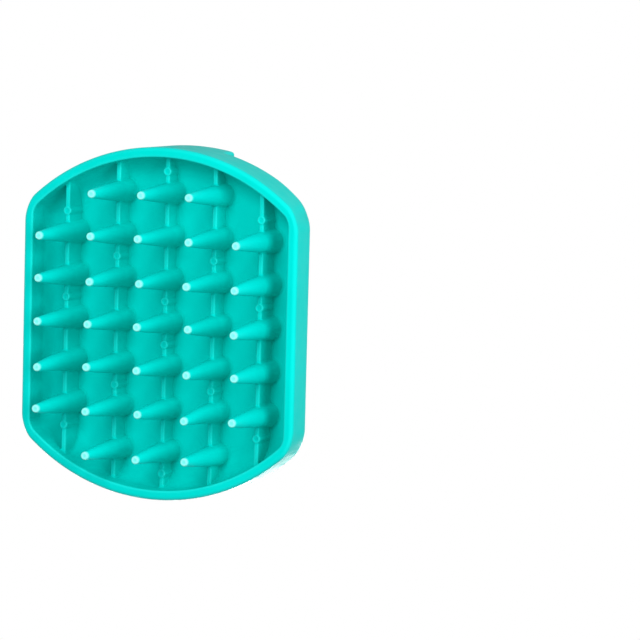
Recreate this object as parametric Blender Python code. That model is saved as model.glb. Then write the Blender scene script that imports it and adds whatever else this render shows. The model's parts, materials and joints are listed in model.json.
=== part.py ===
"""Rubber curry brush: a shallow tray of 31 cone teeth under a back with a hand strap.

Metres, +Z up. It stands on the tips of its teeth at Z = 0, with its strap on top. X is across the
brush, Y along the strap, and the origin is under the middle of the brush.
"""

import math

import bmesh
import bpy
from mathutils import Vector

MM = 0.001
# Neighbours stand this far apart, cutters run this far past what they cut, and points of an outline
# keep this far from its corners.
CLEARANCE = 0.3 * MM
OVERCUT = 2 * MM
POINT_GAP = 0.5 * MM
WELD = 0.001 * MM

# Tray: two flat sides and two ends that are arcs, under a back that is domed across X, with a
# flat floor inside
LENGTH = 96 * MM
WIDTH = 81 * MM
END_RADIUS = 57 * MM
CORNER_RADIUS = 7 * MM
SMALLEST_CORNER = 0.3 * MM
WALL = 2.7 * MM
FLOOR_THICKNESS = 3.6 * MM
BACK_HEIGHT = 14.8 * MM
DOME_RADIUS = 500 * MM
SHOULDER_RADIUS = 5 * MM
BACK_EDGE_RADIUS = 0.8 * MM
RIM_EDGE = 0.5 * MM
SIDE_FILLET = 5 * MM
END_FILLET = 7 * MM

# Teeth: columns across X, rows along Y; the four corner places are empty. The length is that of
# the middle column, and the tips lie on an arch.
COLUMNS = 5
ROWS = 7
SIDE_MARGIN = 9 * MM
END_MARGIN = 9.9 * MM
COLUMN_PITCH = (WIDTH - 2 * (WALL + SIDE_MARGIN)) / (COLUMNS - 1)
ROW_PITCH = (LENGTH - 2 * (WALL + END_MARGIN)) / (ROWS - 1)
TOOTH_LENGTH = 23.4 * MM
TOOTH_BASE_RADIUS = 3.3 * MM
TOOTH_TIP_RADIUS = 1 * MM
TOOTH_FULLNESS = 0.85
TIP_EDGE = 0.2 * MM
CAP_LEDGE = 0.35 * MM
ARCH_RADIUS = 185 * MM
SWAY = math.radians(15)

# Ribs: one along each column from end to end, with round ejector pads between some of its teeth.
# The height is that of the middle rib, and the edges lie on the same arch as the tips.
RIB_HEIGHT = 5.8 * MM
RIB_THICKNESS = 1.2 * MM
PAD_RADIUS = 1.2 * MM
# The pads of each column, as places between rows: 1.5 is halfway between rows 1 and 2
PADS = ((1.5, 3.5, 6.5), (2.5, 5.5), (0.5, 3.5, 4.5, 7.5), (2.5, 5.5), (1.5, 3.5, 6.5))

# Strap: an arch along Y, narrow in the middle
STRAP_RISE = 18.2 * MM
STRAP_END_RISE = 6.2 * MM
STRAP_THICKNESS = 3 * MM
STRAP_WAIST = 13.2 * MM
STRAP_END_WIDTH = 26.4 * MM
STRAP_ROOT_DEPTH = 10.5 * MM
STRAP_SPLIT = 30 * MM

ARC_STEPS = 9
CORNER_STEPS = 3
FLAT_STEPS = 5
TOOTH_STEPS = 10
PAD_STEPS = 5
SEAT_RINGS = 6
STRAP_STEPS = 12
RUBBER = (0.0, 0.69, 0.63, 1.0)


def column_x(column):
    return (column - (COLUMNS - 1) / 2) * COLUMN_PITCH


def arch_drop(column):
    """How far the tips and the rib of a column lie below those of the middle column."""
    return column_x(column) ** 2 / (2 * ARCH_RADIUS)


def tooth_radius(depth):
    """A tooth's radius at a depth under the arch's crown: a cone that is a little full."""
    left = (1 - depth / TOOTH_LENGTH) ** TOOTH_FULLNESS
    return TOOTH_TIP_RADIUS + (TOOTH_BASE_RADIUS - TOOTH_TIP_RADIUS) * left


# The brush stands on the tips of its outer columns.
FLOOR_Z = TOOTH_LENGTH + arch_drop(0)
RIM_Z = FLOOR_Z - (BACK_HEIGHT - FLOOR_THICKNESS)
END_CENTRE = END_RADIUS - LENGTH / 2
# The free part of a tooth turns about a point past the rib by what its edge dips when it sways.
HINGE_DROP = tooth_radius(RIB_HEIGHT) * math.sin(SWAY) + CLEARANCE / 2
CAP_RADIUS = tooth_radius(RIB_HEIGHT) - CAP_LEDGE


def spread(start, end, steps):
    return [start + (end - start) * i / steps for i in range(steps + 1)]


def round_drop(distance, radius):
    """How far a quarter-round edge has fallen at a distance in from its wall."""
    if distance >= radius:
        return 0.0
    return radius - math.sqrt(max(radius**2 - (radius - distance) ** 2, 0.0))


def to_side(x, inset):
    return WIDTH / 2 - inset - abs(x)


def to_end(x, y, inset):
    return END_RADIUS - inset - math.hypot(x, abs(y) + END_CENTRE)


def dome_z(x):
    return RIM_Z + BACK_HEIGHT - x**2 / (2 * DOME_RADIUS)


def back_z(x, y):
    """The outside of the back: domed, with round shoulders and crisper ends."""
    shoulder = round_drop(to_side(x, 0), SHOULDER_RADIUS)
    return dome_z(x) - shoulder - round_drop(to_end(x, y, 0), BACK_EDGE_RADIUS)


def floor_z(x, y):
    """The inside of the back: flat, and curved down into the walls."""
    side = round_drop(to_side(x, WALL), SIDE_FILLET)
    end = round_drop(to_end(x, y, WALL), END_FILLET)
    return FLOOR_Z - max(side, end)


def outline(inset):
    """The tray's outline in plan, counterclockwise, a distance in from its wall."""
    half, end = WIDTH / 2 - inset, END_RADIUS - inset
    corner = max(CORNER_RADIUS - inset, SMALLEST_CORNER)
    corner_x = half - corner
    reach = end - corner
    corner_y = math.sqrt(reach**2 - corner_x**2) - END_CENTRE
    turn = math.atan2(corner_y + END_CENTRE, corner_x)
    quarter = [(half, corner_y * i / FLAT_STEPS) for i in range(FLAT_STEPS)]
    for i in range(CORNER_STEPS):
        angle = turn * i / CORNER_STEPS
        quarter.append((corner_x + corner * math.cos(angle), corner_y + corner * math.sin(angle)))
    for i in range(ARC_STEPS):
        angle = turn + (math.pi / 2 - turn) * i / ARC_STEPS
        quarter.append((end * math.cos(angle), end * math.sin(angle) - END_CENTRE))
    top = (0.0, end - END_CENTRE)
    left = [(-x, y) for x, y in reversed(quarter[1:])]
    upper = quarter + [top] + left + [(-half, 0.0)]
    lower = [(-x, -y) for x, y in upper[1:-1]]
    return upper + lower


def rubber(name):
    material = bpy.data.materials.new(name)
    material.use_nodes = True
    shader = material.node_tree.nodes["Principled BSDF"]
    shader.inputs["Base Color"].default_value = RUBBER
    shader.inputs["Roughness"].default_value = 0.45
    shader.inputs["Metallic"].default_value = 0.0
    return material


def add(name, bm, place=(0, 0, 0), sharp_over=math.radians(35)):
    """Makes an object with its own material from a finished bmesh."""
    bmesh.ops.recalc_face_normals(bm, faces=bm.faces)
    mesh = bpy.data.meshes.new(name)
    bm.to_mesh(mesh)
    bm.free()
    mesh.shade_smooth()
    mesh.set_sharp_from_angle(angle=sharp_over)
    mesh.materials.append(rubber(name))
    piece = bpy.data.objects.new(name, mesh)
    piece.location = place
    bpy.context.collection.objects.link(piece)
    return piece


def hide_cutter(piece):
    piece.hide_render = True
    piece.display_type = "WIRE"
    return piece


def cut(piece, cutter, operation):
    boolean = piece.modifiers.new(operation.title(), "BOOLEAN")
    boolean.operation = operation
    boolean.solver = "EXACT"
    boolean.object = cutter


def skin(rings):
    """A closed bmesh through rings of equal length; the first and last ring are filled."""
    bm = bmesh.new()
    loops = [[bm.verts.new(point) for point in ring] for ring in rings]
    for first, second in zip(loops, loops[1:]):
        count = len(first)
        for i in range(count):
            bm.faces.new((first[i], first[(i + 1) % count], second[(i + 1) % count], second[i]))
    bm.faces.new(loops[0])
    bm.faces.new(loops[-1])
    return bm


def surface_rings(inset, insets, shares, height):
    """Rings of one face of the tray, from its wall to its middle: first by inset, then by share."""
    rings = []
    for step in insets:
        rings.append([(x, y, height(x, y)) for x, y in outline(inset + step)])
    last = outline(inset + insets[-1])
    for share in shares:
        rings.append([(x * share, y * share, height(x * share, y * share)) for x, y in last])
    return rings


# Rings of points: over the rounded edges by their radius, then shrinking towards the middle
EDGE_INSETS = tuple(share * BACK_EDGE_RADIUS for share in (0, 0.31, 1))
BACK_INSETS = EDGE_INSETS + tuple(share * SHOULDER_RADIUS for share in (0.33, 0.63, 1))
FLOOR_INSETS = tuple(share * END_FILLET for share in (0, 0.06, 0.17, 0.34, 0.6, 0.98))
SHARES = (0.86, 0.72, 0.57, 0.41, 0.24, 0.08)


def make_shell():
    """The tray: its domed back, its wall and its flat rim, open underneath."""
    rings = surface_rings(0, BACK_INSETS, SHARES, back_z)[::-1]
    for inset, z in ((0, RIM_EDGE), (RIM_EDGE, 0), (WALL - RIM_EDGE, 0), (WALL, RIM_EDGE)):
        rings.append([(x, y, RIM_Z + z) for x, y in outline(inset)])
    rings += surface_rings(WALL, FLOOR_INSETS, SHARES, floor_z)
    return add("shell", skin(rings))


def make_cavity():
    """The room inside the tray, smaller by the clearance, which trims the ribs to fit."""

    def lowered(x, y):
        return floor_z(x, y) - CLEARANCE

    rings = surface_rings(WALL + CLEARANCE, FLOOR_INSETS, SHARES, lowered)[::-1]
    rings.append([(x, y, RIM_Z - TOOTH_LENGTH) for x, y in outline(WALL + CLEARANCE)])
    return hide_cutter(add("cavity", skin(rings)))


def row_y(row):
    """The place of a row along Y; rows count from 1 at the -Y end, and 1.5 is between two."""
    return (row - (ROWS + 1) / 2) * ROW_PITCH


def rows_of(column):
    """The outer columns have no tooth in their first and last row."""
    outer = column in (0, COLUMNS - 1)
    return range(2, ROWS) if outer else range(1, ROWS + 1)


def rib_edge_z(column):
    return FLOOR_Z - arch_drop(column) - RIB_HEIGHT


def hinge_z(column):
    return rib_edge_z(column) - HINGE_DROP


def rib_half_outline(column, at_floor):
    """One side of a rib in plan, as (half width, y): its web, with a bulge at each root and pad."""
    root = tooth_radius(-arch_drop(column)) if at_floor else tooth_radius(RIB_HEIGHT)
    bulges = [(row_y(row), root, TOOTH_STEPS // 2) for row in rows_of(column)]
    bulges += [(row_y(place), PAD_RADIUS, PAD_STEPS) for place in PADS[column]]
    half = RIB_THICKNESS / 2
    x = abs(column_x(column))
    reach = math.sqrt((END_RADIUS - WALL) ** 2 - x**2) - END_CENTRE + OVERCUT
    points = [(half, -reach)]
    for y, radius, steps in sorted(bulges):
        start = math.asin(half / radius)
        for i in range(steps + 1):
            angle = start + (math.pi - 2 * start) * i / steps
            points.append((radius * math.sin(angle), y - radius * math.cos(angle)))
    points.append((half, reach))
    return points


def make_rib(column, cavity):
    """A rib with the roots of its column's teeth and its ejector pads."""
    x = column_x(column)
    rings = []
    for at_floor, z in ((False, rib_edge_z(column)), (True, FLOOR_Z + OVERCUT)):
        side = rib_half_outline(column, at_floor)
        ring = [(x + half, y, z) for half, y in side]
        ring += [(x - half, y, z) for half, y in reversed(side)]
        rings.append(ring)
    rib = add(f"rib_{column + 1}", skin(rings))
    seats = bmesh.new()
    for row in rows_of(column):
        ball = bmesh.ops.create_uvsphere(
            seats, u_segments=TOOTH_STEPS, v_segments=SEAT_RINGS, radius=CAP_RADIUS + CLEARANCE
        )
        bmesh.ops.translate(seats, verts=ball["verts"], vec=(x, row_y(row), hinge_z(column)))
    cut(rib, hide_cutter(add(f"seats_{column + 1}", seats)), "DIFFERENCE")
    cut(rib, cavity, "INTERSECT")


def make_tooth(column, row):
    """The free length of a tooth, with a round end at its hinge and its origin on the axis."""
    start = RIB_HEIGHT + HINGE_DROP
    profile = [(0, CAP_RADIUS)]
    for degrees in (45, 90):
        angle = math.radians(degrees)
        profile.append((CAP_RADIUS * math.sin(angle), CAP_RADIUS * math.cos(angle)))
    for depth in spread(start, TOOTH_LENGTH - TIP_EDGE, 3):
        profile.append((tooth_radius(depth), start - depth))
    profile.append((TOOTH_TIP_RADIUS - TIP_EDGE, start - TOOTH_LENGTH))
    profile.append((0, start - TOOTH_LENGTH))
    bm = bmesh.new()
    points = [bm.verts.new((radius, 0, z)) for radius, z in profile]
    edges = [bm.edges.new(pair) for pair in zip(points, points[1:])]
    bmesh.ops.spin(
        bm, geom=points + edges, axis=(0, 0, 1), cent=(0, 0, 0),
        angle=2 * math.pi, steps=TOOTH_STEPS, use_merge=True,
    )
    bmesh.ops.remove_doubles(bm, verts=bm.verts, dist=WELD)
    place = (column_x(column), row_y(row), hinge_z(column))
    add(f"tooth_{column + 1}_{row}", bm, place)


def strap_top_z(y):
    """The strap's outside: an arc of a circle from end to end."""
    rise, half = STRAP_RISE - STRAP_END_RISE, LENGTH / 2
    radius = (half**2 + rise**2) / (2 * rise)
    return dome_z(0) + STRAP_RISE - radius + math.sqrt(radius**2 - y**2)


def strap_half_width(y):
    rise, half = (STRAP_END_WIDTH - STRAP_WAIST) / 2, LENGTH / 2
    radius = (half**2 + rise**2) / (2 * rise)
    return STRAP_WAIST / 2 + radius - math.sqrt(radius**2 - y**2)


def prism(name, ring, axis, reach):
    """A closed prism through a ring of points, the same distance each way along an axis."""
    shift = Vector(axis) * reach
    near = [Vector(point) - shift for point in ring]
    far = [Vector(point) + shift for point in ring]
    return add(name, skin((near, far)))


def strap_plan():
    """The cutter that gives the strap its outline in plan, within the outline of the tray."""
    corner_x = STRAP_END_WIDTH / 2
    corner_y = math.sqrt(END_RADIUS**2 - corner_x**2) - END_CENTRE
    stations = spread(-LENGTH / 2, LENGTH / 2, 2 * STRAP_STEPS)
    right = [(strap_half_width(y), y) for y in stations if abs(y) < corner_y - POINT_GAP]
    right = [(corner_x, -corner_y)] + right + [(corner_x, corner_y)]
    ends = [point for point in outline(0) if abs(point[0]) < corner_x - POINT_GAP]
    upper = sorted((p for p in ends if p[1] > 0), key=lambda p: -p[0])
    lower = sorted((p for p in ends if p[1] < 0), key=lambda p: p[0])
    ring = right + upper + [(-x, y) for x, y in reversed(right)] + lower
    reach = BACK_HEIGHT + STRAP_RISE + OVERCUT
    return hide_cutter(prism("strap_plan", [(x, y, RIM_Z) for x, y in ring], (0, 0, 1), reach))


def strap_seat():
    """The cutter that fits the foot of the strap to the dome of the back."""
    rings = [[(x, y, RIM_Z) for x, y in outline(-OVERCUT)]]
    rings += surface_rings(-OVERCUT, (0, OVERCUT), SHARES, lambda x, y: dome_z(x) + CLEARANCE)
    return hide_cutter(add("strap_seat", skin(rings)))


def make_band(plan):
    """The free part of the strap."""
    stations = spread(-STRAP_SPLIT, STRAP_SPLIT, 2 * STRAP_STEPS)
    side = [(0, y, strap_top_z(y)) for y in stations]
    side += [(0, y, strap_top_z(y) - STRAP_THICKNESS) for y in reversed(stations)]
    band = prism("strap_band", side, (1, 0, 0), WIDTH / 2)
    cut(band, plan, "INTERSECT")


def make_root(name, end, plan, seat):
    """A root of the strap, which grows out of one end of the back, round inside like a C."""
    root_y = LENGTH / 2 - STRAP_ROOT_DEPTH
    foot_z = dome_z(0)
    radius = (strap_top_z(root_y) - STRAP_THICKNESS - foot_z) / 2
    past_y = LENGTH / 2 + OVERCUT
    stations = spread(STRAP_SPLIT + CLEARANCE, LENGTH / 2, STRAP_STEPS)
    side = [(y, strap_top_z(y)) for y in stations]
    side += [(past_y, strap_top_z(LENGTH / 2)), (past_y, foot_z - OVERCUT), (root_y, foot_z - OVERCUT)]
    for angle in spread(-math.pi / 2, math.pi / 2, STRAP_STEPS // 2):
        side.append((root_y + radius * math.cos(angle), foot_z + radius * (1 + math.sin(angle))))
    free = [y for y in reversed(stations) if y < root_y - POINT_GAP]
    side += [(y, strap_top_z(y) - STRAP_THICKNESS) for y in free]
    root = prism(name, [(0, end * y, z) for y, z in side], (1, 0, 0), WIDTH / 2)
    cut(root, plan, "INTERSECT")
    cut(root, seat, "DIFFERENCE")


def make_strap():
    """The strap: a band between two roots that grow out of the ends of the back."""
    plan = strap_plan()
    seat = strap_seat()
    make_band(plan)
    make_root("strap_root_front", -1, plan, seat)
    make_root("strap_root_rear", 1, plan, seat)


def main():
    for old in list(bpy.data.objects):
        bpy.data.objects.remove(old, do_unlink=True)
    make_shell()
    make_strap()
    cavity = make_cavity()
    for column in range(COLUMNS):
        make_rib(column, cavity)
        for row in rows_of(column):
            make_tooth(column, row)


main()
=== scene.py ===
"""The looks of the rubber curry brush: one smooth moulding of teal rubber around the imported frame.

The tray, its ribs and its strap are the zero surface of one distance function, so every edge and
fillet is round, as on moulded rubber. The teeth are turned. Distances in that function are in
millimetres, with z = 0 at the rim; everything in the scene is in metres, with +Z up.
"""

import json
import math

import bpy
import bmesh
import numpy as np
from mathutils import Euler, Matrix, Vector


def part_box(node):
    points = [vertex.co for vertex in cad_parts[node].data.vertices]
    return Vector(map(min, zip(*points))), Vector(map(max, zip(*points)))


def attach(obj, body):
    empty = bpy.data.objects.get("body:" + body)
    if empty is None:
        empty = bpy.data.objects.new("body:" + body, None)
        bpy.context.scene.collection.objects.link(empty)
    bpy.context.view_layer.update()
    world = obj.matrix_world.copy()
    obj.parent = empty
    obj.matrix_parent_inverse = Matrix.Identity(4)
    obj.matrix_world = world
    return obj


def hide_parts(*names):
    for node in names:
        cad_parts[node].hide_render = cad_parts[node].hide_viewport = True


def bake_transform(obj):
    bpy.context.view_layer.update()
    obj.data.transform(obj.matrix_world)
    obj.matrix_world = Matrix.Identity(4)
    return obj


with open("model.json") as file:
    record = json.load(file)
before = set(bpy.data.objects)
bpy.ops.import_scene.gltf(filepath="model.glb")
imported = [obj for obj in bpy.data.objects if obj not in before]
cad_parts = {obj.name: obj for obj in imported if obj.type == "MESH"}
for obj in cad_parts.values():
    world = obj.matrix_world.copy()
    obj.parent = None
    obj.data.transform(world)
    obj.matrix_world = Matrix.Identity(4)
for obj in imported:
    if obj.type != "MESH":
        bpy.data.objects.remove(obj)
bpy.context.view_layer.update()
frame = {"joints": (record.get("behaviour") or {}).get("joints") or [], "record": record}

MM = 0.001

# The grid that the surface is found on. A block of cells far from the surface gets one value.
CELL = 0.3
GRID_MARGIN = 1.5 * CELL
BLOCK = 4
BLOCK_MARGIN = 1.4

# The surface's mesh: how its slope and bend are measured, and where triangles are saved
SLOPE_REACH = 0.05
LEAST_SLOPE = 0.1
SETTLE_ROUNDS = 3
BEND_REACH = 0.7
FLAT_BEND = 0.04
TRIANGLES_KEPT = 0.25

# Sizes that the frame gives
SHELL_LOW, SHELL_HIGH = (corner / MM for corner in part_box("shell"))
RIM_Z = SHELL_LOW.z
HALF_WIDTH = SHELL_HIGH.x
HALF_LENGTH = SHELL_HIGH.y
STRAP_TOP_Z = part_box("strap_band")[1].z / MM - RIM_Z

# Tray; its back edge grows rounder from CORNER_START out to the corners
END_RADIUS = 57
WALL = 2.7
BACK_HEIGHT = 14.8
DOME_RADIUS = 500
SHOULDER_RADIUS = 5
BACK_EDGE = 0.9
CORNER_EDGE = 3.2
CORNER_START = 28
RIM_EDGE = 1.2
RIM_INNER_EDGE = 0.5
FLOOR_DEPTH = 11.2
SIDE_FILLET = 5
END_FILLET = 7
CORNER_FILLET = 1.3
END_CENTRE = END_RADIUS - HALF_LENGTH

# Ribs, tooth roots and ejector pads; the ribs' edges and the tips lie on an arch. Each column's pads
# are given by row number, and NO_ROW is the row of a pad that isn't there.
ARCH_RADIUS = 185
RIB_HEIGHT = 5.8
RIB_THICKNESS = 1.25
RIB_DRAFT = 0.03
RIB_EDGE = 0.3
ROOT_FILLET = 0.6
WEB_FILLET = 0.5
SKIN = 1
STUB_END = 7.4
STUB_GAP = 0.1
PAD_RADIUS = 1.15
PAD_RISE = 0.3
PAD_EDGE = 0.3
PAD_DIMPLE = 0.15
DIMPLE_RIM = 0.75 * PAD_RADIUS
DIMPLE_FLOOR = 0.45 * PAD_RADIUS
MIDDLE_ROW = 4
PADS = ((1.5, 3.5, 6.5), (2.5, 5.5), (0.5, 3.5, 4.5, 7.5), (2.5, 5.5), (1.5, 3.5, 6.5))
PADS_MOST = 4
NO_ROW = 1000

# Teeth. A tooth's skin comes out of its root over SEAM_LENGTH either side of the depth SEAM, and the
# tooth is bent a little to one side from SEAM to its tip. Tips get a painted glow and a painted highlight,
# so they are paler.
TOOTH_LENGTH = 23.4
TOOTH_BASE_RADIUS = 3.3
TOOTH_TIP_RADIUS = 1.0
TOOTH_FULLNESS = 0.85
TIP_EDGE = 0.3
TIP_DIMPLE = 0.1
SEAM = 6.0
SEAM_LENGTH = 0.8
SEAM_SINK = 0.1
LEAN = 0.016
LEAN_SEED = 7
TOOTH_SIDES = 28
TOOTH_RINGS = 20
TOOTH_GLOW_SHARE = 0.3
TIP_HIGHLIGHT_SHARE = 0.6
TIP_FADE = (-0.6, 0.2)
DIMPLE_RINGS = ((0.8, 0.3, 0.95), (0.5, 0.7, 0.8), (0, 1, 0.75))

# Strap; its band is cut into two halves, at the middle and at STRAP_CUT either side of it
STRAP_END_TOP = 21
STRAP_THICKNESS = 3
STRAP_WAIST = 13.2
STRAP_END_WIDTH = 26.4
STRAP_EDGE = 0.6
ROOT_DEPTH = 7.2
ROOT_ROUND = 3.3
ROOT_SIDE_FILLET = 0.8
FILLET_FADE = 3
GAP_SINK = 1.5 * ROOT_ROUND
ARC_REACH = HALF_LENGTH + 2
STRAP_CUT = 33

# Rubber, as linear colours
DEEP_TEAL = (0.0, 0.545, 0.49, 1)
TEAL = (0.0, 0.575, 0.522, 1)
# The next colour is a painted highlight on convex edges
PAINTED_EDGE_HIGHLIGHT = (0.03, 0.74, 0.69, 1)
# The next colour is painted shade in concave creases
PAINTED_CREASE_SHADE = (0.0, 0.40, 0.34, 1)
# The next two colours are a painted glow along the teeth and a painted highlight at their tips
PAINTED_TOOTH_GLOW = (0.0, 0.72, 0.66, 1)
PAINTED_TIP_HIGHLIGHT = (0.27, 0.80, 0.74, 1)

# Floor, in metres
FLOOR_RADIUS = 4
FLOOR_DROP = 0.0002
FLOOR_SIDES = 64
FLOOR_GREY = (0.55, 0.55, 0.55, 1)
FLOOR_GLOW = 0.25
WHITE = (1, 1, 1, 1)

# The camera looks up at the tray from a little to one side; the brush stands left of the middle.
VIEW = Euler((math.radians(175.15), math.radians(-24.56), math.radians(-1.31))).to_matrix()
CAMERA_DISTANCE = 0.903
LENS = 187.4
LOOK_RIGHT = math.radians(2.815)
LOOK_UP = math.radians(0.08)

# Lights: name, direction, size in metres and power in watts
LIGHT_DISTANCE = 0.6
LIGHTS = (
    ("key_below", VIEW @ Vector((-0.3, 0.35, 1)), 0.3, 2.7),
    ("fill_below", VIEW @ Vector((0.85, 0.15, 1)), 0.3, 2.7),
    ("key_above", Vector((-0.45, 0.4, 1.2)), 0.35, 3.8),
)
ROOM_LIGHT = 0.5


def dome_z(x):
    """The height of the back, which falls a little to the sides."""
    return BACK_HEIGHT - x**2 / (2 * DOME_RADIUS)


def tooth_radius(depth):
    """A tooth's radius at a depth from its root: a cone that is a little full."""
    left = np.maximum(1 - depth / TOOTH_LENGTH, 0) ** TOOTH_FULLNESS
    return TOOTH_TIP_RADIUS + (TOOTH_BASE_RADIUS - TOOTH_TIP_RADIUS) * left


class Column:
    """One column of teeth, from its joint and its nodes in the frame."""

    def __init__(self, joint):
        self.body = joint["child"]
        self.x = joint["pos_m"][0] / MM
        self.hinge_z = joint["pos_m"][2] / MM - RIM_Z
        self.root_z = FLOOR_DEPTH - self.x**2 / (2 * ARCH_RADIUS)
        self.teeth = {}
        for node in frame["record"]["behaviour"]["bodies"][self.body]:
            low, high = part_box(node)
            self.teeth[node] = (low.y + high.y) / 2 / MM
        self.last_row = (len(self.teeth) - 1) // 2


COLUMNS = [Column(joint) for joint in frame["joints"] if joint["type"] == "hinge"]
COLUMN_PITCH = COLUMNS[1].x - COLUMNS[0].x
ROW_PITCH = max(COLUMNS[0].teeth.values()) / COLUMNS[0].last_row
COLUMN_X = np.array([column.x for column in COLUMNS])
COLUMN_ROOT = np.array([column.root_z for column in COLUMNS])
LAST_ROW = np.array([column.last_row for column in COLUMNS])
PAD_PLACES = np.array([(list(pads) + [NO_ROW] * PADS_MOST)[:PADS_MOST] for pads in PADS])


def smooth_step(low, high, value):
    """From 0 at low to 1 at high, with a soft start and end."""
    t = np.clip((value - low) / (high - low), 0, 1)
    return t * t * (3 - 2 * t)


def both(a, b, radius):
    """The overlap of two solids, with the edge between them rounded."""
    corner = np.hypot(np.maximum(a + radius, 0), np.maximum(b + radius, 0))
    return np.minimum(-radius, np.maximum(a, b)) + corner


def either(a, b, radius):
    """The sum of two solids, with a fillet between them."""
    corner = np.hypot(np.maximum(radius - a, 0), np.maximum(radius - b, 0))
    return np.maximum(radius, np.minimum(a, b)) - corner


def arc(y, middle, end):
    """A circular arc over the brush's length, and its slope."""
    rise = middle - end
    radius = (HALF_LENGTH**2 + rise**2) / (2 * rise)
    root = np.sqrt(radius**2 - np.minimum(np.abs(y), ARC_REACH) ** 2)
    return middle - np.sign(rise) * (abs(radius) - root), -np.sign(rise) * y / root


def strap_field(x, y, z):
    """The strap with its roots, and the radius of the fillet where it meets the back."""
    top, slope = arc(y, STRAP_TOP_Z, STRAP_END_TOP)
    half, flare = arc(y, STRAP_WAIST / 2, STRAP_END_WIDTH / 2)
    upright = 1 / np.sqrt(1 + slope**2)
    over = (z - top) * upright
    side = (np.abs(x) - half) / np.sqrt(1 + flare**2)
    under = (z - top + STRAP_THICKNESS) * upright
    gap = both(np.abs(y) - (HALF_LENGTH - ROOT_DEPTH), under, ROOT_ROUND)
    gap = np.maximum(gap, dome_z(x) - GAP_SINK - z)
    band = both(both(over, side, STRAP_EDGE), -gap, STRAP_EDGE)
    inside = smooth_step(0, FILLET_FADE, half - np.abs(x))
    return band, ROOT_SIDE_FILLET + (ROOT_ROUND - ROOT_SIDE_FILLET) * inside


def shell_fields(x, y, z):
    """The outside of the tray with its strap, and the room inside the tray."""
    to_middle = np.hypot(x, np.abs(y) + END_CENTRE)
    away = np.abs(x)
    tray = both(away - HALF_WIDTH, z - dome_z(x), SHOULDER_RADIUS)
    strap, fillet = strap_field(x, y, z)
    edge = BACK_EDGE + (CORNER_EDGE - BACK_EDGE) * smooth_step(CORNER_START, HALF_WIDTH, away)
    outside = both(either(tray, strap, fillet), to_middle - END_RADIUS, edge)
    side = both(away - HALF_WIDTH + WALL, z - FLOOR_DEPTH, SIDE_FILLET)
    end = both(to_middle - END_RADIUS + WALL, z - FLOOR_DEPTH, END_FILLET)
    room = both(side, end, CORNER_FILLET)
    return outside, room


def rib_field(x, y, z):
    """The ribs with the roots of the teeth and the ejector pads; each point sees its own column."""
    column = np.clip(np.rint(x / COLUMN_PITCH) + len(COLUMNS) // 2, 0, len(COLUMNS) - 1).astype(int)
    across = x - COLUMN_X[column]
    depth = COLUMN_ROOT[column] - z
    past_edge = depth - RIB_HEIGHT
    web = np.abs(across) - RIB_THICKNESS / 2 + RIB_DRAFT * past_edge
    web = both(web, past_edge, RIB_EDGE)
    row = np.clip(np.rint(y / ROW_PITCH), -LAST_ROW[column], LAST_ROW[column])
    narrower = STUB_GAP * smooth_step(SEAM - SEAM_LENGTH, SEAM + SEAM_LENGTH, depth)
    root = np.hypot(across, y - row * ROW_PITCH) - tooth_radius(depth) + narrower
    ribs = either(web, both(root, depth - STUB_END, RIB_EDGE), WEB_FILLET)
    for places in PAD_PLACES.T:
        along = y - (places[column] - MIDDLE_ROW) * ROW_PITCH
        away = np.hypot(across, along)
        dimple = PAD_DIMPLE * smooth_step(DIMPLE_RIM, DIMPLE_FLOOR, away)
        pad = both(away - PAD_RADIUS, past_edge - PAD_RISE + dimple, PAD_EDGE)
        ribs = either(ribs, pad, PAD_EDGE)
    return ribs


def moulding(points):
    """Signed distance to the moulding without its teeth, negative inside."""
    x, y, z = points.T
    outside, room = shell_fields(x, y, z)
    shell = both(both(outside, -z, RIM_EDGE), -room, RIM_INNER_EDGE)
    ribs = np.maximum(rib_field(x, y, z), outside + SKIN)
    return either(shell, ribs, ROOT_FILLET)


def gradient(points):
    slopes = []
    for step in np.eye(3) * SLOPE_REACH:
        slopes.append((moulding(points + step) - moulding(points - step)) / (2 * SLOPE_REACH))
    return np.stack(slopes, axis=1)


def settle(points):
    """Moves points onto the surface along its gradient, by less than a cell."""
    for _ in range(SETTLE_ROUNDS):
        slope = gradient(points)
        square = np.maximum((slope**2).sum(1), LEAST_SLOPE)
        step = np.clip(moulding(points) / square, -CELL / 2, CELL / 2)
        points = points - slope * step[:, None]
    return points


def grid_values(low, counts):
    """The distance at the corners of the grid. A block of corners far from the surface has one value."""
    blocks = [np.arange(math.ceil(count / BLOCK)) for count in counts]
    index = np.stack(np.meshgrid(*blocks, indexing="ij"), axis=-1).reshape(-1, 3) * BLOCK
    coarse = moulding(low + CELL * (index + (BLOCK - 1) / 2))
    near = index[np.abs(coarse) < BLOCK_MARGIN * CELL * (math.sqrt(3) * (BLOCK - 1) / 2 + 1)]
    values = coarse.reshape([len(block) for block in blocks])
    for axis in range(3):
        values = values.repeat(BLOCK, axis=axis)
    for offset in np.ndindex(BLOCK, BLOCK, BLOCK):
        corner = near + offset
        values[tuple(corner.T)] = moulding(low + CELL * corner)
    return values


CORNERS = np.array([(i, j, k) for i in (0, 1) for j in (0, 1) for k in (0, 1)])
EDGES = [(a, b) for a in range(8) for b in range(a + 1, 8) if np.abs(CORNERS[a] - CORNERS[b]).sum() == 1]


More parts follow.
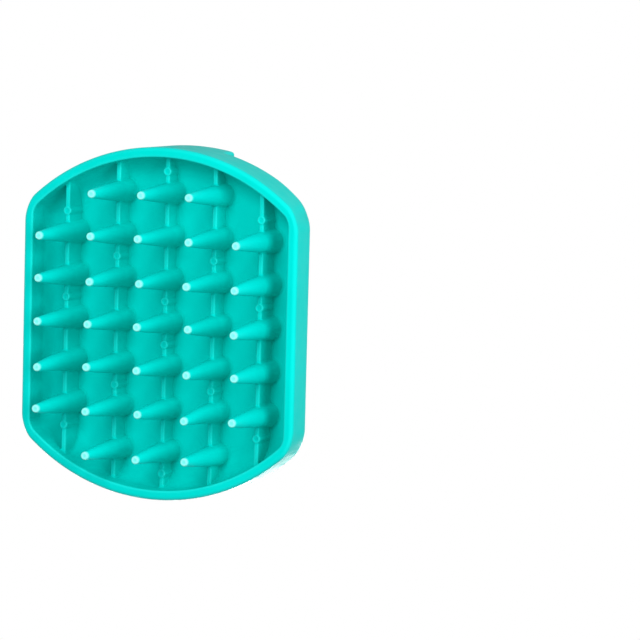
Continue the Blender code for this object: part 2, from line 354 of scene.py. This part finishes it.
def surface_net(values, low):
    """Points and quads of the surface: a point in each cell that it crosses, a quad round each edge."""
    solid = values < 0
    cells = np.zeros(np.array(values.shape) - 1, int)
    for i, j, k in CORNERS:
        cells += solid[i : i + cells.shape[0], j : j + cells.shape[1], k : k + cells.shape[2]]
    crossed = (cells > 0) & (cells < 8)
    number = np.full(cells.shape, -1)
    number[crossed] = np.arange(crossed.sum())
    places = np.argwhere(crossed)
    corner = [values[tuple((places + offset).T)] for offset in CORNERS]
    total, count = np.zeros(places.shape), np.zeros(len(places))
    for a, b in EDGES:
        cut = (corner[a] < 0) != (corner[b] < 0)
        share = np.where(cut, corner[a] / np.where(cut, corner[a] - corner[b], 1), 0)[:, None]
        total += np.where(cut[:, None], CORNERS[a] + (CORNERS[b] - CORNERS[a]) * share, 0)
        count += cut
    points = low + CELL * (places + total / count[:, None])
    quads = []
    for axis in range(3):
        one, two = [np.eye(3, dtype=int)[(axis + turn) % 3] for turn in (1, 2)]
        here = np.moveaxis(solid, axis, 0)
        edge = np.moveaxis(here[:-1] != here[1:], 0, axis)
        at = np.argwhere(edge)
        at = at[(at[:, (axis + 1) % 3] > 0) & (at[:, (axis + 2) % 3] > 0)]
        ring = [number[tuple((at - offset).T)] for offset in (0 * one, one, one + two, two)]
        quad = np.stack(ring, axis=1)
        outward = solid[tuple(at.T)]
        quad[~outward] = quad[~outward][:, ::-1]
        quads.append(quad)
    return points, np.concatenate(quads)


def in_scene(points):
    """Coordinates in metres in the row frame, in one list, from points in millimetres over the rim."""
    return ((points + (0, 0, RIM_Z)) * MM).astype(np.float32).ravel()


def mesh_from(name, points, quads):
    mesh = bpy.data.meshes.new(name)
    mesh.vertices.add(len(points))
    mesh.vertices.foreach_set("co", in_scene(points))
    mesh.loops.add(quads.size)
    mesh.loops.foreach_set("vertex_index", quads.astype(np.int32).ravel())
    mesh.polygons.add(len(quads))
    mesh.polygons.foreach_set("loop_start", np.arange(len(quads), dtype=np.int32) * 4)
    mesh.update(calc_edges=True)
    mesh.validate()
    return mesh


def points_of(mesh):
    """The mesh's points in millimetres over the rim."""
    flat = np.empty(len(mesh.vertices) * 3, np.float32)
    mesh.vertices.foreach_get("co", flat)
    return flat.reshape(-1, 3).astype(float) / MM - (0, 0, RIM_Z)


def place(name, mesh):
    piece = bpy.data.objects.new(name, mesh)
    bpy.context.scene.collection.objects.link(piece)
    return piece


def bending(points):
    """How far the surface stands out around each point, as at an edge, or in, as in a crease."""
    steps = [BEND_REACH * side * along for along in np.eye(3) for side in (-1, 1)]
    return sum(moulding(points + step) for step in steps) / (len(steps) * BEND_REACH)


def thinned(mesh):
    """The mesh with fewer triangles where it is flat."""
    piece = place("thinning", mesh)
    flat = piece.vertex_groups.new(name="flat")
    flat.add(np.flatnonzero(np.abs(bending(points_of(mesh))) < FLAT_BEND).tolist(), 1, "REPLACE")
    fewer = piece.modifiers.new("Fewer", "DECIMATE")
    fewer.vertex_group = flat.name
    fewer.ratio = TRIANGLES_KEPT
    graph = bpy.context.evaluated_depsgraph_get()
    result = bpy.data.meshes.new_from_object(piece.evaluated_get(graph))
    bpy.data.objects.remove(piece)
    return result


def finish_surface(mesh):
    """Puts the points on the surface, with its true normals and how far each stands out as an edge."""
    points = settle(points_of(mesh))
    mesh.vertices.foreach_set("co", in_scene(points))
    mesh.update()
    normals = gradient(points)
    normals /= np.linalg.norm(normals, axis=1)[:, None]
    mesh.polygons.foreach_set("use_smooth", np.ones(len(mesh.polygons), bool))
    mesh.normals_split_custom_set_from_vertices(normals.tolist())
    write_values(mesh, "edge", bending(points))


def write_values(mesh, name, values):
    """Stores one number per point, which sets where highlight and shade are painted into the rubber's
    colour.
    """
    layer = mesh.attributes.new(name, "FLOAT", "POINT")
    layer.data.foreach_set("value", np.asarray(values, np.float32))


def cut_mesh(mesh, name, keep):
    """A copy of the mesh with only the faces whose middle passes a test."""
    form = bmesh.new()
    form.from_mesh(mesh)
    dropped = [face for face in form.faces if not keep(face.calc_center_median() / MM)]
    bmesh.ops.delete(form, geom=dropped, context="FACES")
    part = bpy.data.meshes.new(name)
    form.to_mesh(part)
    form.free()
    return part


def over_gap(point):
    """True over the middle of the gap between back and strap, short of the strap's roots."""
    top, _ = arc(point[1], STRAP_TOP_Z, STRAP_END_TOP)
    middle = (top - STRAP_THICKNESS + BACK_HEIGHT) / 2
    return abs(point[1]) < HALF_LENGTH - ROOT_DEPTH - ROOT_ROUND and point[2] - RIM_Z > middle


def make_moulding(rubber):
    """The tray with its ribs, and the two halves of the strap, cut from one closed surface."""
    low = np.array([-HALF_WIDTH, -HALF_LENGTH, 0]) - GRID_MARGIN
    high = np.array([HALF_WIDTH, HALF_LENGTH, STRAP_TOP_Z]) + GRID_MARGIN
    counts = np.ceil((high - low) / CELL).astype(int) + 1
    points, quads = surface_net(grid_values(low, counts), low)
    whole = thinned(mesh_from("whole", settle(points), quads))
    form = bmesh.new()
    form.from_mesh(whole)
    for y in (-STRAP_CUT, 0, STRAP_CUT):
        band = [face for face in form.faces if over_gap(face.calc_center_median() / MM)]
        edges = list({edge for face in band for edge in face.edges})
        verts = list({vert for face in band for vert in face.verts})
        bmesh.ops.bisect_plane(form, geom=band + edges + verts, plane_co=(0, y * MM, 0), plane_no=(0, 1, 0))
    bmesh.ops.triangulate(form, faces=[face for face in form.faces if len(face.verts) > 3])
    form.to_mesh(whole)
    form.free()

    def in_band(point):
        return over_gap(point) and abs(point[1]) < STRAP_CUT

    parts = {
        "moulded_tray": lambda point: not in_band(point),
        "moulded_strap_front": lambda point: in_band(point) and point[1] < 0,
        "moulded_strap_rear": lambda point: in_band(point) and point[1] >= 0,
    }
    for name, keep in parts.items():
        mesh = cut_mesh(whole, name, keep)
        finish_surface(mesh)
        mesh.materials.append(rubber)
        piece = place(name, mesh)
        if name == "moulded_tray":
            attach(piece, "tray")
            ribs = [f"rib_{number + 1}" for number in range(len(COLUMNS))]
            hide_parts("shell", "strap_root_front", "strap_root_rear", *ribs)
            continue
        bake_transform(piece)
        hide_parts("strap_band")
    bpy.data.meshes.remove(whole)


def tooth_profile():
    """A tooth's outline as (radius, depth from the root, how much it is tip)."""
    outline = []
    for depth in np.linspace(SEAM - SEAM_LENGTH, SEAM + SEAM_LENGTH, 3):
        hidden = SEAM_SINK * (SEAM + SEAM_LENGTH - depth) / (2 * SEAM_LENGTH)
        outline.append((tooth_radius(depth) - hidden, depth, 0))
    for depth in np.linspace(SEAM + SEAM_LENGTH, TOOTH_LENGTH - TIP_EDGE, TOOTH_RINGS)[1:]:
        # These shares set how much painted glow the tooth gets along its length and how much painted
        # highlight at its tip
        thin = TOOTH_GLOW_SHARE * (depth - SEAM) / (TOOTH_LENGTH - SEAM)
        tip = TIP_HIGHLIGHT_SHARE * smooth_step(*TIP_FADE, depth - TOOTH_LENGTH + TIP_EDGE)
        outline.append((tooth_radius(depth), depth, float(thin + tip)))
    for angle in np.linspace(0, math.pi / 2, 6)[1:]:
        radius = TOOTH_TIP_RADIUS - TIP_EDGE * (1 - math.cos(angle))
        outline.append((radius, TOOTH_LENGTH - TIP_EDGE * (1 - math.sin(angle)), 1))
    for share, sink, tip in DIMPLE_RINGS:
        outline.append(((TOOTH_TIP_RADIUS - TIP_EDGE) * share, TOOTH_LENGTH - TIP_DIMPLE * sink, tip))
    return outline


def tooth_mesh(name, column, y, lean):
    """One tooth, turned and then bent a little to one side."""
    *rings, (_, end_depth, end_tip) = tooth_profile()
    form = bmesh.new()

    def add_point(aside, along, depth, bend):
        x = column.x + aside + lean[0] * bend
        point = (x, y + along + lean[1] * bend, column.root_z - depth + RIM_Z)
        return form.verts.new(Vector(point) * MM)

    verts, tips = [], []
    for radius, depth, tip in rings:
        bend = max(depth - SEAM, 0) ** 2 / (TOOTH_LENGTH - SEAM)
        for turn in np.arange(TOOTH_SIDES) * 2 * math.pi / TOOTH_SIDES:
            verts.append(add_point(radius * math.cos(turn), radius * math.sin(turn), depth, bend))
            tips.append(tip)
    for ring in range(len(rings) - 1):
        for i in range(TOOTH_SIDES):
            a = ring * TOOTH_SIDES + i
            b = ring * TOOTH_SIDES + (i + 1) % TOOTH_SIDES
            form.faces.new([verts[at] for at in (a + TOOTH_SIDES, b + TOOTH_SIDES, b, a)])
    form.faces.new(verts[:TOOTH_SIDES])
    centre = add_point(0, 0, end_depth, TOOTH_LENGTH - SEAM)
    tips.append(end_tip)
    last = verts[-TOOTH_SIDES:]
    for i in range(TOOTH_SIDES):
        form.faces.new((last[i], centre, last[(i + 1) % TOOTH_SIDES]))
    bmesh.ops.recalc_face_normals(form, faces=form.faces)
    mesh = bpy.data.meshes.new(name)
    form.to_mesh(mesh)
    form.free()
    mesh.shade_smooth()
    write_values(mesh, "edge", np.zeros(len(tips)))
    write_values(mesh, "tip", tips)
    return mesh


def make_teeth(rubber):
    """The teeth, each bent a little to one side."""
    chance = np.random.default_rng(LEAN_SEED)
    for column in COLUMNS:
        for node, y in column.teeth.items():
            name = "moulded_" + node
            mesh = tooth_mesh(name, column, y, chance.normal(0, LEAN, 2))
            mesh.materials.append(rubber)
            piece = place(name, mesh)
            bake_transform(piece)
            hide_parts(node)


def make_rubber():
    """Satin teal rubber: painted highlights on convex edges, a painted glow that makes the teeth paler
    toward their tips, painted shade in creases, a fine grain and a faint unevenness.
    """
    material = bpy.data.materials.new("teal_rubber")
    material.use_nodes = True
    tree = material.node_tree
    nodes, link = tree.nodes, tree.links.new
    shader = nodes["Principled BSDF"]
    shader.inputs["IOR"].default_value = 1.4
    shader.inputs["Specular IOR Level"].default_value = 0.3
    shader.inputs["Specular Tint"].default_value = (0, 1, 0.97, 1)
    shader.inputs["Subsurface Weight"].default_value = 0.2
    shader.inputs["Subsurface Radius"].default_value = (0.4, 1.0, 0.95)
    shader.inputs["Subsurface Scale"].default_value = 0.0012
    where = nodes.new("ShaderNodeTexCoord").outputs["Object"]

    def noise(scale, detail):
        texture = nodes.new("ShaderNodeTexNoise")
        texture.inputs["Scale"].default_value = scale
        texture.inputs["Detail"].default_value = detail
        texture.inputs["Roughness"].default_value = 0.5
        link(where, texture.inputs["Vector"])
        return texture.outputs["Fac"]

    def ranged(value, low, high, to_low, to_high):
        shift = nodes.new("ShaderNodeMapRange")
        for name, number in (("From Min", low), ("From Max", high), ("To Min", to_low), ("To Max", to_high)):
            shift.inputs[name].default_value = number
        link(value, shift.inputs["Value"])
        return shift.outputs["Result"]

    def mixed(factor, a, b):
        mix = nodes.new("ShaderNodeMix")
        mix.data_type = "RGBA"
        link(factor, mix.inputs["Factor"])
        for socket, colour in ((mix.inputs["A"], a), (mix.inputs["B"], b)):
            if isinstance(colour, tuple):
                socket.default_value = colour
            else:
                link(colour, socket)
        return mix.outputs["Result"]

    def attribute(name):
        read = nodes.new("ShaderNodeAttribute")
        read.attribute_name = name
        return read.outputs["Fac"]

    def bump(height, distance, strength):
        relief = nodes.new("ShaderNodeBump")
        relief.inputs["Distance"].default_value = distance
        relief.inputs["Strength"].default_value = strength
        link(height, relief.inputs["Height"])
        return relief

    colour = mixed(ranged(noise(45, 3), 0.35, 0.65, 0, 1), DEEP_TEAL, TEAL)
    # Painted highlights on convex edges and toward the teeth's tips, and painted shade in creases
    for name, low, high, share, paint in (
        ("edge", 0.05, 0.4, 0.4, PAINTED_EDGE_HIGHLIGHT),
        ("edge", -0.05, -0.3, 0.6, PAINTED_CREASE_SHADE),
        ("tip", 0, 0.3, 0.5, PAINTED_TOOTH_GLOW),
        ("tip", 0.35, 1, 0.9, PAINTED_TIP_HIGHLIGHT),
    ):
        colour = mixed(ranged(attribute(name), low, high, 0, share), colour, paint)
    link(colour, shader.inputs["Base Color"])
    link(ranged(noise(260, 4), 0.3, 0.7, 0.4, 0.52), shader.inputs["Roughness"])
    grain = bump(noise(2600, 3), 0.03 * MM, 0.35)
    waves = bump(noise(110, 1), 0.15 * MM, 0.4)
    link(waves.outputs["Normal"], grain.inputs["Normal"])
    link(grain.outputs["Normal"], shader.inputs["Normal"])
    return material


def make_floor():
    """A pale floor under the tips. Its lower side is open, because the brush is shown from below."""
    bpy.ops.mesh.primitive_circle_add(
        vertices=FLOOR_SIDES, radius=FLOOR_RADIUS, fill_type="NGON", location=(0, 0, -FLOOR_DROP)
    )
    floor = bpy.context.object
    floor.name = "floor"
    material = bpy.data.materials.new("pale_floor")
    material.use_nodes = True
    tree = material.node_tree
    shader = tree.nodes["Principled BSDF"]
    shader.inputs["Base Color"].default_value = FLOOR_GREY
    shader.inputs["Roughness"].default_value = 0.9
    shader.inputs["Emission Color"].default_value = WHITE
    shader.inputs["Emission Strength"].default_value = FLOOR_GLOW
    clear = tree.nodes.new("ShaderNodeBsdfTransparent")
    side = tree.nodes.new("ShaderNodeNewGeometry")
    mix = tree.nodes.new("ShaderNodeMixShader")
    tree.links.new(side.outputs["Backfacing"], mix.inputs["Fac"])
    tree.links.new(shader.outputs["BSDF"], mix.inputs[1])
    tree.links.new(clear.outputs["BSDF"], mix.inputs[2])
    tree.links.new(mix.outputs["Shader"], tree.nodes["Material Output"].inputs["Surface"])
    floor.data.materials.append(material)
    floor.visible_shadow = False
    floor.visible_diffuse = False
    floor.visible_glossy = False


def add_light(name, direction, size, energy):
    light = bpy.data.lights.new(name, "AREA")
    light.size = size
    light.energy = energy
    lamp = bpy.data.objects.new(name, light)
    lamp.location = direction.normalized() * LIGHT_DISTANCE
    lamp.rotation_euler = (-direction).to_track_quat("-Z", "Y").to_euler()
    bpy.context.scene.collection.objects.link(lamp)


def make_studio():
    """A white room that lights the brush less than it shows, and the lights."""
    world = bpy.data.worlds.new("studio")
    world.use_nodes = True
    nodes, link = world.node_tree.nodes, world.node_tree.links.new
    sky = nodes["Background"]
    sky.inputs["Color"].default_value = WHITE
    dimmed = nodes.new("ShaderNodeMix")
    dimmed.inputs["A"].default_value = ROOM_LIGHT
    dimmed.inputs["B"].default_value = 1.0
    link(nodes.new("ShaderNodeLightPath").outputs["Is Camera Ray"], dimmed.inputs["Factor"])
    link(dimmed.outputs["Result"], sky.inputs["Strength"])
    bpy.context.scene.world = world
    bpy.context.scene.view_settings.view_transform = "Standard"
    for light in LIGHTS:
        add_light(*light)


def make_camera():
    camera = bpy.data.cameras.new("camera")
    camera.lens = LENS
    piece = bpy.data.objects.new("camera", camera)
    piece.location = Vector((0, 0, RIM_Z * MM)) + VIEW @ Vector((0, 0, CAMERA_DISTANCE))
    aside = Euler((LOOK_UP, -LOOK_RIGHT, 0)).to_matrix()
    piece.rotation_euler = (VIEW @ aside).to_euler()
    bpy.context.scene.collection.objects.link(piece)
    bpy.context.scene.camera = piece


rubber = make_rubber()
make_moulding(rubber)
make_teeth(rubber)
make_floor()
make_camera()
make_studio()
